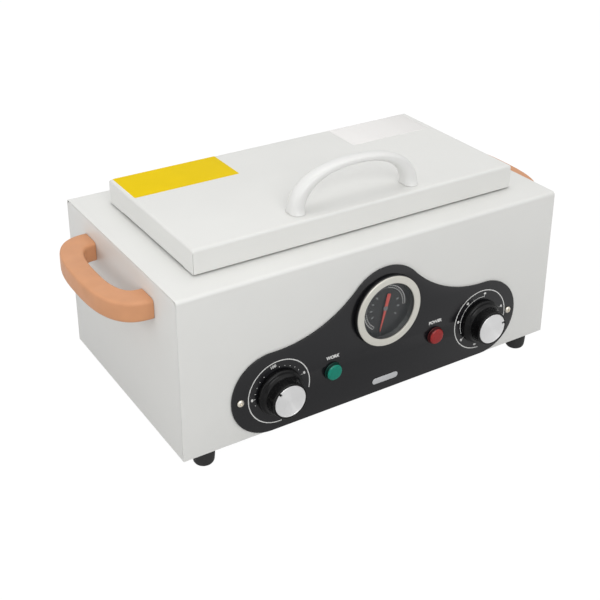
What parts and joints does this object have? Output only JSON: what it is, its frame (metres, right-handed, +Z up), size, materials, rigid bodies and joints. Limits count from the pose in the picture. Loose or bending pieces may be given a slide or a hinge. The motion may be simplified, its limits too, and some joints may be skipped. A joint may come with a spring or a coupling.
{
  "type": "dry heat steriliser",
  "caption": "Bench-top dry-heat steriliser: a heated steel chamber in a sheet-metal case, with a hinged insulated lid, dial thermometer, thermostat and timer knobs.",
  "frame": {"origin": "middle of the whole object's footprint, on the bench", "axes": "+X to the object's right seen from the front, -Y towards the front panel, +Z up"},
  "size_m": [0.4314, 0.2274, 0.2087],
  "materials": {
    "painted_sheet": "light warm-white powder coat",
    "stainless": "brushed",
    "zinc_plate": "bright zinc plate",
    "black_rubber": "matt",
    "glass_wool": "fibrous",
    "silicone_seal": "matt",
    "white_plastic": "satin",
    "tan_plastic": "satin",
    "fascia_black": "satin",
    "spun_aluminium": "spun",
    "green_lens": "clear tinted",
    "red_lens": "clear tinted",
    "bezel_silver": "turned",
    "dial_grey": "matt print",
    "needle_red": "matt",
    "clear_glass": "polished",
    "contact_carrier": "plain",
    "copper_tube": "plain copper",
    "blue_wire": "satin",
    "brown_wire": "satin",
    "black_plastic": "satin"
  },
  "bodies": {
    "case": {"base_plate": "zinc_plate", "case_shell": "painted_sheet", "chamber_insulation": "glass_wool", "chamber_tank": "stainless", "control_fascia": "fascia_black", "element_clamp_left": "zinc_plate", "element_clamp_right": "zinc_plate", "fascia_screw_left": "zinc_plate", "fascia_screw_right": "zinc_plate", "foot_back_left": "black_rubber", "foot_back_right": "black_rubber", "foot_front_left": "black_rubber", "foot_front_right": "black_rubber", "heating_element": "stainless", "hinge_case_leaf_left": "zinc_plate", "hinge_case_leaf_right": "zinc_plate", "hinge_pin_left": "zinc_plate", "hinge_pin_right": "zinc_plate", "inlet_contacts": "contact_carrier", "instrument_tray": "stainless", "power_inlet": "black_plastic", "power_lamp_body": "black_plastic", "power_lamp_lens": "red_lens", "side_handle_left": "tan_plastic", "side_handle_right": "tan_plastic", "side_handle_screw_left_back": "zinc_plate", "side_handle_screw_left_front": "zinc_plate", "side_handle_screw_right_back": "zinc_plate", "side_handle_screw_right_front": "zinc_plate", "side_panel_left": "painted_sheet", "side_panel_right": "painted_sheet", "thermometer_bezel": "bezel_silver", "thermometer_can": "black_plastic", "thermometer_capillary": "copper_tube", "thermometer_dial": "dial_grey", "thermometer_glass": "clear_glass", "thermostat_body": "black_plastic", "thermostat_capillary": "copper_tube", "timer_body": "black_plastic", "wire_element": "brown_wire", "wire_live": "brown_wire", "wire_neutral": "blue_wire", "work_lamp_body": "black_plastic", "work_lamp_lens": "green_lens"},
    "lid": {"hinge_lid_leaf_left": "zinc_plate", "hinge_lid_leaf_right": "zinc_plate", "lid_handle": "white_plastic", "lid_handle_screw_left": "zinc_plate", "lid_handle_screw_right": "zinc_plate", "lid_insulation": "glass_wool", "lid_liner": "stainless", "lid_seal": "silicone_seal", "lid_shell": "painted_sheet"},
    "thermostat_control": {"thermostat_knob": "black_plastic", "thermostat_knob_cap": "spun_aluminium", "thermostat_shaft": "zinc_plate"},
    "timer_control": {"timer_knob": "black_plastic", "timer_knob_cap": "spun_aluminium", "timer_shaft": "zinc_plate"},
    "needle": {"thermometer_needle": "needle_red"}
  },
  "joints": [
    {"name": "lid_hinge", "type": "hinge", "parent": "case", "child": "lid", "pos_m": [0, 0.0872, 0.1543], "axis": [-1, 0, 0], "range_deg": [0, 95]},
    {"name": "thermostat_knob_turn", "type": "hinge", "parent": "case", "child": "thermostat_control", "pos_m": [-0.0972, -0.0969, 0.0488], "axis": [0, 1, 0], "range_deg": [-122, 113]},
    {"name": "timer_knob_turn", "type": "hinge", "parent": "case", "child": "timer_control", "pos_m": [0.1034, -0.0969, 0.0488], "axis": [0, 1, 0], "range_deg": [0, 291]},
    {"name": "thermometer_needle_turn", "type": "hinge", "parent": "case", "child": "needle", "pos_m": [0.0031, -0.0969, 0.0907], "axis": [0, 1, 0], "range_deg": [0, 270]}
  ]
}
